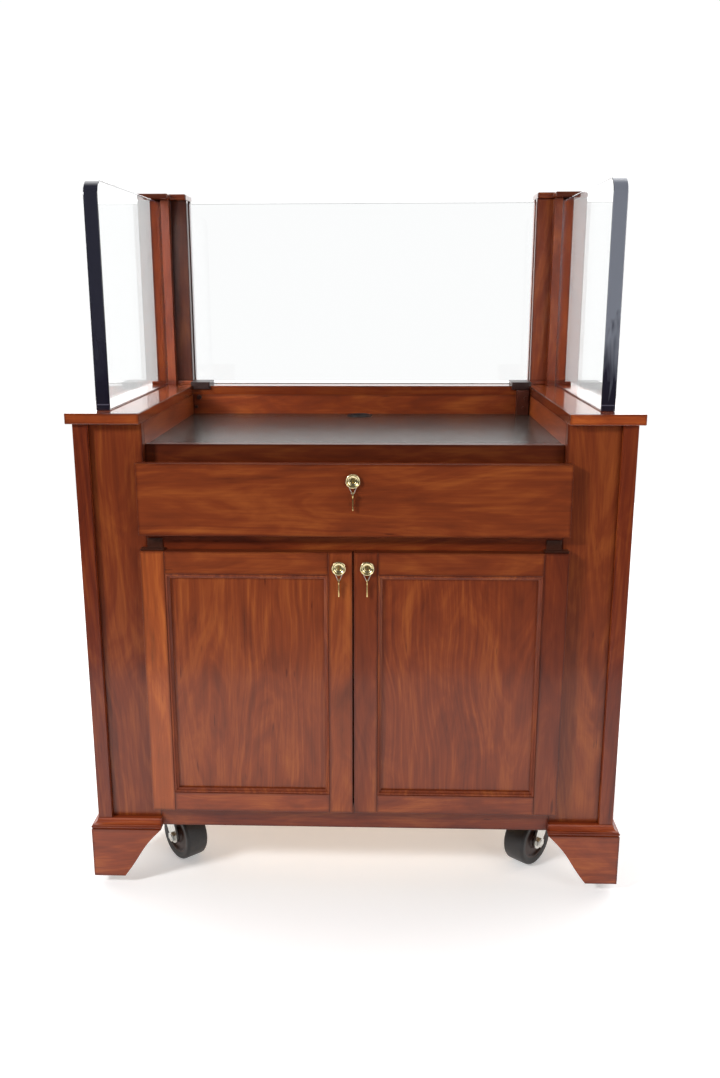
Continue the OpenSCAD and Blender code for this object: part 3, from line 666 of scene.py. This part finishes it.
def bead_rings(x0, x1, z0, z1, section):
    """Four rings, one at each mitred corner: section is (inwards, y) pairs, moved in on both axes."""
    section = np.asarray(section, float)
    mitres = [(x0, z0, 1, 1), (x1, z0, -1, 1), (x1, z1, -1, -1), (x0, z1, 1, -1)]
    return [
        np.column_stack([x + sx * section[:, 0], section[:, 1], z + sz * section[:, 0]])
        for x, z, sx, sz in mitres
    ]


STILE, TOP_RAIL, LOW_RAIL, BEAD = 43 * MM, 42 * MM, 37.5 * MM, 8 * MM
REBATE = 14.5 * MM
# How dark and how warm each door's boards are: outer stile, inner stile, bottom rail, top rail, bead
DOOR_TONES = {
    "left": ((1.3, 1.5), (1.05, 0.7), (1.12, 0.4), (1.0, 0.6), (0.95, 0.3)),
    "right": ((0.86, 0.0), (0.95, 0.3), (1.0, 0.2), (0.95, 0.4), (0.9, 0.3)),
}


def bead_section(front):
    """The bead as (inwards, y) pairs: a quirk, a round, a cove and a small step down to the panel."""
    turn = np.radians(np.linspace(150, 10, 9))
    round_over = np.column_stack([2.4 + 1.9 * np.cos(turn), 2.1 - 1.9 * np.sin(turn)])
    cove = np.column_stack([4.3 + 2.9 * np.linspace(0, 1, 6) ** 1.6, 2.2 + 2.3 * np.linspace(0, 1, 6)])
    ends = [[7.3, 4.6], [8.0, 4.8], [8.0, 8.5], [0.0, 8.5]]
    section = np.vstack([[[0.0, 0.1], [0.25, 1.2]], round_over, cove, ends]) * MM
    return section + (0, front)


def door(side):
    """A door's stiles, rails, bead and the lips behind its panel, from its CAD box."""
    name = "left" if side < 0 else "right"
    body, node = name + "_door", "door_" + name
    lo, hi = low(node), high(node)
    seed = 40 if side < 0 else 60
    back = lo[1] + REBATE
    tones = DOOR_TONES[name]
    stiles = [(lo[0], lo[0] + STILE), (hi[0] - STILE, hi[0])]
    if side > 0:
        stiles.reverse()
    pieces = []
    for n, (a, b) in enumerate(stiles):
        pieces.append(board(
            f"stile_{name}_{n}", (a, lo[1], lo[2]), (b, hi[1], hi[2]), body,
            seed=seed + n, shade=tones[n][0], warm=tones[n][1],
        ))
    for n, (a, b) in enumerate(((lo[2], lo[2] + LOW_RAIL), (hi[2] - TOP_RAIL, hi[2]))):
        pieces.append(board(
            f"rail_{name}_{n}",
            (lo[0] + STILE + JOINT, lo[1] + JOINT, a), (hi[0] - STILE - JOINT, hi[1], b), body,
            seed=seed + 2 + n, shade=tones[2 + n][0], warm=tones[2 + n][1],
        ))
    x0, x1, z0, z1 = lo[0] + STILE, hi[0] - STILE, lo[2] + LOW_RAIL, hi[2] - TOP_RAIL
    wide, tall = x1 - x0 + 0.04, z1 - z0 + 0.04
    finish = wood(
        f"cherry_bead_{name}", ((x0 + x1) / 2, lo[1], (z0 + z1) / 2), (wide, 0.02, tall),
        seed=seed + 4, shade=tones[4][0], warm=tones[4][1], coat=0.05, rough=0.5,
    )
    bead = loft(f"bead_{name}", bead_rings(x0, x1, z0, z1, bead_section(lo[1])), finish, close_ends=True)
    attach(bead, body)
    for n, (a, b, c, d) in enumerate((
        (x0, x0 + BEAD, z0, z1), (x1 - BEAD, x1, z0, z1), (x0 + BEAD, x1 - BEAD, z0, z0 + BEAD),
        (x0 + BEAD, x1 - BEAD, z1 - BEAD, z1),
    )):
        pieces.append(board(f"lip_{name}_{n}", (a, back, c), (b, hi[1], d), body, seed=seed + 5 + n))
    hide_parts(node)
    return pieces


door_pieces = door(-1) + door(1)
print("door boards", len(door_pieces))

# %% [markdown]
# ## Locks and keys
# Each lock's ring is turned brass, flared and dished so that it guides the key, with the plug set
# deep in the middle. A wire loop hangs round its collar and carries the key, which hangs edge-on.

# %% Lock rings


RING_PROUD, RING_WAIST, RING_LIP = 6.2 * MM, 3.7 * MM, 1.3 * MM
BARREL_R, BORE_R, DISH_DEEP = 8.4 * MM, 5.6 * MM, 4.3 * MM


def lock_ring(node):
    """A turned ring: a collar, a flare, a rounded rim and a dish that falls to the plug."""
    lo, hi = low(node), high(node)
    centre = ((lo[0] + hi[0]) / 2, 0.0, (lo[2] + hi[2]) / 2)
    rim = (hi[0] - lo[0]) / 2
    front = lo[1]
    wall = front + RING_PROUD
    collar = rim - RING_WAIST
    turn = np.linspace(0, np.pi, 12)
    rim_curve = np.column_stack([
        rim - RING_LIP + RING_LIP * np.sin(turn), front + RING_LIP - RING_LIP * np.cos(turn[::-1])
    ])
    fall = np.linspace(0, np.pi / 2, 12)
    dish = np.column_stack([
        BORE_R + 0.4 * MM + (rim - 2.4 * MM - BORE_R) * np.cos(fall),
        front + 0.6 * MM + DISH_DEEP * np.sin(fall),
    ])
    profile = np.vstack([
        [[BARREL_R, hi[1]], [BARREL_R, wall], [collar, wall], [collar, wall - 3.6 * MM]],
        rim_curve, dish, [[BORE_R, front + 5.2 * MM], [BORE_R, hi[1]]],
    ])
    ring = loft(f"{node}_ring", revolve(profile, centre, (0, 1, 0), 72), brass, close_ends=True)
    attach(ring, BODY_OF[node])
    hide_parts(node)
    return ring


rings = [lock_ring(node) for node in ("lock_drawer", "lock_left", "lock_right")]
print("rings", len(rings))

# %% Loops and keys


def loop_path(centre, r_top, r_low, drop, steps=24):
    """A closed path: an arc over the collar, two straight sides and a small arc at the bottom."""
    side = math.acos((r_top - r_low) / drop)
    over = np.linspace(-math.pi / 2 + side, 1.5 * math.pi - side, steps)
    under = np.linspace(-math.pi / 2 - side, -math.pi / 2 + side, steps // 2)
    top = np.column_stack([np.cos(over), np.sin(over)]) * r_top
    bottom = np.column_stack([np.cos(under), np.sin(under)]) * r_low - (0, drop)
    flat = np.vstack([top, bottom])
    return np.column_stack([centre[0] + flat[:, 0], np.full(len(flat), centre[1]), centre[2] + flat[:, 1]])


WIRE_R, LOOP_LOW_R, LOOP_DROP, LOOP_BACK = 0.65 * MM, 2.0 * MM, 21 * MM, 2.3 * MM
BOW_R, HOLE_R, BOW_HALF, BLADE_HALF = 5.5 * MM, 1.6 * MM, 1.0 * MM, 0.9 * MM
# The blade's outline in mm from the bow's hole: its back, its tip, then two cuts and a shoulder
BLADE = np.array([
    (-2.2, -4.0), (-2.2, -24.0), (-1.2, -28.6), (0.8, -28.6), (1.6, -27.0), (2.2, -26.0), (3.4, -25.6),
    (3.4, -23.4), (2.2, -23.0), (2.2, -20.6), (3.4, -20.2), (3.4, -17.6), (2.2, -17.2), (2.2, -14.0),
    (1.4, -13.0), (2.2, -12.0), (2.2, -4.0),
]) * MM


def upright(x, flat):
    """Points of a plane across the cabinet, from their (y, z) pairs."""
    return np.column_stack([np.full(len(flat), x), flat])


def key_piece(node):
    """A wire loop and a flat key with a ring-shaped bow and cut teeth."""
    lo, hi = low(node), high(node)
    x = (lo[0] + hi[0]) / 2
    top_r = (hi[0] - lo[0]) / 2
    y, z = hi[1] - LOOP_BACK, hi[2] - top_r
    path = loop_path((x, y, z), top_r - 0.6 * MM, LOOP_LOW_R, LOOP_DROP)
    loop = loft(f"{node}_loop", tube_rings(path, WIRE_R), steel, close_ends=True)
    hole = np.array([y - 0.6 * MM, z - LOOP_DROP - LOOP_LOW_R])
    bow = hole + (-2.6 * MM, -1.3 * MM)
    turn = np.linspace(0, 2 * np.pi, 40, endpoint=False)
    outer = bow + BOW_R * np.column_stack([np.cos(turn), np.sin(turn)])
    inner = hole + HOLE_R * np.column_stack([np.cos(turn), np.sin(turn)])
    faces = ((-1, outer), (-1, inner), (1, inner), (1, outer))
    rings = [upright(x + half * BOW_HALF, edge) for half, edge in faces]
    head = loft(f"{node}_bow", rings, brass_dull, close_ends=True)
    ease(head, 0.0003, 2)
    points = BLADE + (bow[0], hole[1])
    points[:, 1] = np.maximum(points[:, 1], lo[2])
    sides = [upright(x + half * BLADE_HALF, points) for half in (-1, 1)]
    shank = loft(f"{node}_blade", sides, brass_dull, cap=True)
    for piece in (loop, head, shank):
        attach(piece, BODY_OF[node])
    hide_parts(node)
    return [loop, head, shank]


keys = [piece for node in ("key_drawer", "key_left", "key_right") for piece in key_piece(node)]
print("key pieces", len(keys))

# %% [markdown]
# ## The clear shields
# Cast sheet 25 mm thick: the broad faces vanish, but the polished edges show the whole width of
# the sheet at once and look nearly black. So each shield is one closed skin whose broad faces are
# clear and whose narrow faces are painted: near-black, with a painted reflection of the bright room
# that grows paler upwards, and a painted highlight line near the foot.

# %% Edge finish, with painted reflection and highlight
# The height above the counter of the painted highlight line on the shield edges
SEAM_HIGHLIGHT_UP = 11 * MM


def painted_sheet_edge(name, low_tone, high_reflection, seed):
    """The polished edge: nearly black, with a painted reflection that grows paler upwards in soft clouds, and
    a painted highlight line near its foot.
    """
    mat, tree, shader, node = new_material(name)
    spot = node("ShaderNodeTexCoord").outputs["Object"]
    split = node("ShaderNodeSeparateXYZ", [("Vector", spot)])
    # Painted reflection: the edge colour grows paler upwards and in soft clouds, like the bright room
    # reflected in it.
    reflection_rise = node("ShaderNodeMapRange", [("Value", split.outputs["Z"])])
    for socket, value in zip(("From Min", "From Max"), (top_z1 + 0.05, top_z1 + 0.39)):
        reflection_rise.inputs[socket].default_value = value
    moved = node(
        "ShaderNodeMapping", [("Vector", spot)], in_Location=(seed, seed, seed), in_Scale=(30.0, 30.0, 11.0)
    )
    reflection_haze = node(
        "ShaderNodeTexNoise", [("Vector", moved.outputs[0])], in_Scale=1.0, in_Detail=2.0, in_Distortion=1.5
    )
    cloudy_reflection = node("ShaderNodeMath", operation="MULTIPLY_ADD")
    tree.links.new(reflection_haze.outputs["Fac"], cloudy_reflection.inputs[0])
    cloudy_reflection.inputs[1].default_value = 1.1
    tree.links.new(reflection_rise.outputs["Result"], cloudy_reflection.inputs[2])
    tone = ramp(node, cloudy_reflection.outputs[0], [(0.5, low_tone), (0.833, high_reflection)])
    # Painted highlight: a thin pale line a little above the counter, added to the edge colour.
    apart = node("ShaderNodeMath", operation="SUBTRACT")
    tree.links.new(split.outputs["Z"], apart.inputs[0])
    apart.inputs[1].default_value = top_z1 + SEAM_HIGHLIGHT_UP
    width = node("ShaderNodeMath", [("Value", apart.outputs[0])], operation="ABSOLUTE")
    scaled = node("ShaderNodeMath", [("Value", width.outputs[0])], operation="MULTIPLY")
    scaled.inputs[1].default_value = 400.0
    seam_highlight = ramp(node, scaled.outputs[0], [(0.2, (0.10, 0.10, 0.13)), (0.5, (0.0, 0.0, 0.0))])
    added = node("ShaderNodeMix", data_type="RGBA", blend_type="ADD")
    added.inputs["Factor"].default_value = 1.0
    tree.links.new(tone, added.inputs[6])
    tree.links.new(seam_highlight, added.inputs[7])
    tree.links.new(added.outputs[2], shader.inputs["Base Color"])
    shader.inputs["Roughness"].default_value = 0.12
    shader.inputs["Coat Weight"].default_value = 0.8
    shader.inputs["Coat Roughness"].default_value = 0.03
    return mat


# Each edge colour runs from near-black at the foot to a paler painted reflection above; the right edge's is
# the palest.
EDGE = {
    "shield_left": painted_sheet_edge("edge_left", (0.012, 0.010, 0.022), (0.022, 0.022, 0.035), 3.0),
    "shield_right": painted_sheet_edge("edge_right", (0.016, 0.014, 0.028), (0.22, 0.235, 0.28), 5.0),
    "shield_rear": painted_sheet_edge("edge_rear", (0.020, 0.018, 0.020), (0.03, 0.03, 0.03), 7.0),
}
print("edges", len(EDGE))

# %% Shields


def shield(node, through):
    """A twin of a shield whose faces across its thickness (an axis) stay clear; light passes it."""
    obj = twins(node, lambda n, centre, size: clear_sheet, "clear_panel", width=0.0)[0]
    mesh = obj.data
    # The narrow faces take the near-black edge colour with its painted reflection and highlight.
    mesh.materials.append(EDGE[node])
    normals = np.empty(len(mesh.polygons) * 3)
    mesh.polygons.foreach_get("normal", normals)
    narrow = np.abs(normals.reshape(-1, 3)[:, through]) < 0.5
    mesh.polygons.foreach_set("material_index", narrow.astype(np.int32))
    obj.visible_shadow = False
    return ease(obj, 0.0018, 3)


shields = [shield("shield_left", 0), shield("shield_right", 0), shield("shield_rear", 1)]
print("shields", len(shields))

# %% [markdown]
# ## Bracket feet and moulding
# Each foot is two boards, sawn to an S at their inner edge and mitred at the corner, with the
# grain lying down on both. A block is glued behind the mitre. The moulding over them is a cove
# above a rounded nosing, also mitred, so each length is one profile carried between two ends.

# %% Feet
feet_low, feet_high = low("feet"), high("feet")
FOOT_Z, FOOT_TOP = feet_low[2] + 3 * MM, feet_high[2]
FOOT_TOP_W, FOOT_LOW_W, FOOT_T = 134 * MM, 60 * MM, 19 * MM
BLOCK, GLIDE_IN = 34 * MM, 26 * MM
GLIDE = np.array([[0.0, 0.0], [10.5, 0.0], [11.6, 0.5], [12.0, 1.6], [12.0, 3.4], [0.0, 3.4]]) * MM
CORNERS = ((-1, -1), (1, -1), (-1, 1), (1, 1))


def foot_outline(steps=28):
    """
    The wing's face as (u, z), u counted from the corner. Its inner edge falls from the wide top
    to the narrow bottom as a straight line less 4 sin(180 t) and 2 sin(360 t) mm.
    """
    t = np.linspace(0, 1, steps)
    u = FOOT_TOP_W + (FOOT_LOW_W - FOOT_TOP_W) * t
    u -= (4 * np.sin(np.pi * t) + 2 * np.sin(2 * np.pi * t)) * MM
    edge = np.column_stack([u, FOOT_TOP + (FOOT_Z - FOOT_TOP) * t])
    return np.vstack([[[0.0, FOOT_Z], [0.0, FOOT_TOP]], edge])


def corner_frame(sx, sy):
    """A case corner's outer point and the directions inwards along x and y."""
    corner = np.array([sx * feet_high[0], feet_high[1] if sy > 0 else feet_low[1], 0.0])
    return corner, np.array([-sx, 0.0, 0.0]), np.array([0.0, -sy, 0.0])


def foot_wing(name, corner, run, inward, seed, shade):
    """A wing: its outline on the outer face, and again a board's thickness inwards, mitred."""
    outline = foot_outline()
    rings = []
    for depth in (0.0, FOOT_T):
        u = np.maximum(outline[:, 0], depth)
        rings.append(corner + u[:, None] * run + depth * inward + outline[:, 1:] * (0, 0, 1))
    points = np.vstack(rings)
    lo, hi = points.min(0), points.max(0)
    grain = int(np.argmax(np.abs(run)))
    finish = wood("cherry_" + name, (lo + hi) / 2, hi - lo, grain=grain, seed=seed, shade=shade, warm=0.2)
    wing = loft(name, rings, finish, cap=True)
    ease(wing, 0.0009)
    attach(wing, "case")
    return wing


for n, (sx, sy) in enumerate(CORNERS):
    corner, along_x, along_y = corner_frame(sx, sy)
    foot_wing(f"foot_{n}_wide", corner, along_x, along_y, 80 + 2 * n, 1.1)
    foot_wing(f"foot_{n}_deep", corner, along_y, along_x, 81 + 2 * n, 1.0)
    block = [corner + FOOT_T * (along_x + along_y), corner + (FOOT_T + BLOCK) * (along_x + along_y)]
    lo, hi = np.minimum(*block), np.maximum(*block)
    lo[2], hi[2] = FOOT_Z + 12 * MM, FOOT_TOP - 0.2 * MM
    board(f"foot_{n}_block", lo, hi, seed=95 + n, stain=BIRCH, shade=0.6)
    middle = corner + GLIDE_IN * (along_x + along_y)
    disc = loft(f"foot_{n}_glide", revolve(GLIDE + (0, feet_low[2]), middle, (0, 0, 1), 40), black)
    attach(disc, "case")
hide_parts("feet")

# %% Moulding
mould_low, mould_high = low("mouldings"), high("mouldings")
MOULD_H = mould_high[2] - mould_low[2]
# How far back the moulding reaches, in mm: at the front to the boards, elsewhere to the case
TO_BOARDS, TO_CASE = 21.8, 12.0


def mould_section(back):
    """
    The moulding as (inwards, z): a square fillet at the top, a quarter cove, a rounded nosing and
    a small quirk below it, closed along its hidden back.
    """
    turn = np.radians(np.linspace(0, 90, 10))
    cove = np.column_stack([2.0 + 8.4 * np.cos(turn), 17.0 - 8.4 * np.sin(turn)])
    nose_turn = np.radians(np.linspace(100, 260, 12))
    nosing = np.column_stack([2.6 + 2.6 * np.cos(nose_turn), 4.4 + 2.6 * np.sin(nose_turn)])
    ends = [[2.9, 0.9], [1.2, 0.0], [back, 0.0]]
    section = np.vstack([[[back, 19.0], [10.4, 19.0], [10.4, 17.6]], cove, nosing, ends])
    return section * MM * (1, MOULD_H / (19 * MM)) + (0, mould_low[2])


def mould_length(name, corner, run, inward, back, seed):
    """One length: the section at the mitre, where the run follows the depth, and at the far end."""
    section = mould_section(back)
    near = corner + section[:, :1] * run + section[:, :1] * inward + section[:, 1:] * (0, 0, 1)
    far = corner + FOOT_TOP_W * run + section[:, :1] * inward + section[:, 1:] * (0, 0, 1)
    points = np.vstack([near, far])
    lo, hi = points.min(0), points.max(0)
    grain = int(np.argmax(np.abs(run)))
    finish = wood("cherry_" + name, (lo + hi) / 2, hi - lo, grain=grain, seed=seed, shade=1.4)
    piece = loft(name, [near, far], finish, cap=True)
    ease(piece, 0.0003, 2)
    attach(piece, "case")
    return piece


for n, (sx, sy) in enumerate(CORNERS):
    corner, along_x, along_y = corner_frame(sx, sy)
    reach = TO_BOARDS if sy < 0 else TO_CASE
    mould_length(f"moulding_{n}_wide", corner, along_x, along_y, reach, 110 + n)
    mould_length(f"moulding_{n}_deep", corner, along_y, along_x, TO_CASE, 115 + n)
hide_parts("mouldings")

# %% [markdown]
# ## Wheels
# A rubber tread is moulded on a hard core. Both are turned profiles: the tread's shoulders are
# round, and the core is dished between its rim and its hub.

# %% Wheels
AXLE = {joint["name"]: joint for joint in frame["record"]["behaviour"]["joints"]}


WHEEL_R, HALF, SHOULDER, TREAD_IN = 50 * MM, 23 * MM, 6 * MM, 36 * MM
# Half of the core's profile as (radius, distance in from the wheel's side) in mm, rim to hub
CORE = ((36.2, 2.0), (33.0, 2.0), (31.0, 6.0), (17.0, 5.0), (14.0, 0.5), (6.05, 0.0))


def wheel(node, joint):
    """Tread and core, revolved about the roll joint's axis."""
    axis, centre = AXLE[joint]["axis"], AXLE[joint]["pos_m"]
    turn = np.linspace(0, np.pi / 2, 8)
    right = np.column_stack([
        WHEEL_R - SHOULDER + SHOULDER * np.sin(turn), HALF - SHOULDER + SHOULDER * np.cos(turn)
    ])
    inner = [[TREAD_IN, -HALF + 1.5 * MM], [TREAD_IN, HALF - 1.5 * MM]]
    tread_profile = np.vstack([right, right[::-1] * (1, -1), inner])
    tread = loft(f"{node}_tread", revolve(tread_profile, centre, axis, 96), rubber, close_ends=True)
    one_side = np.array([(r * MM, -HALF + depth * MM) for r, depth in CORE])
    core_profile = np.vstack([one_side, one_side[::-1] * (1, -1)])
    hub = loft(f"{node}_core", revolve(core_profile, centre, axis, 72), core, close_ends=True)
    for piece in (tread, hub):
        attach(piece, BODY_OF[node])
    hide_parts(node)
    return [tread, hub]


wheels = []
for node, joint in (
    ("wheel_fl", "front_left_roll"), ("wheel_fr", "front_right_roll"),
    ("wheel_rl", "rear_left_roll"), ("wheel_rr", "rear_right_roll"),
):
    wheels += wheel(node, joint)
print("wheel pieces", len(wheels))
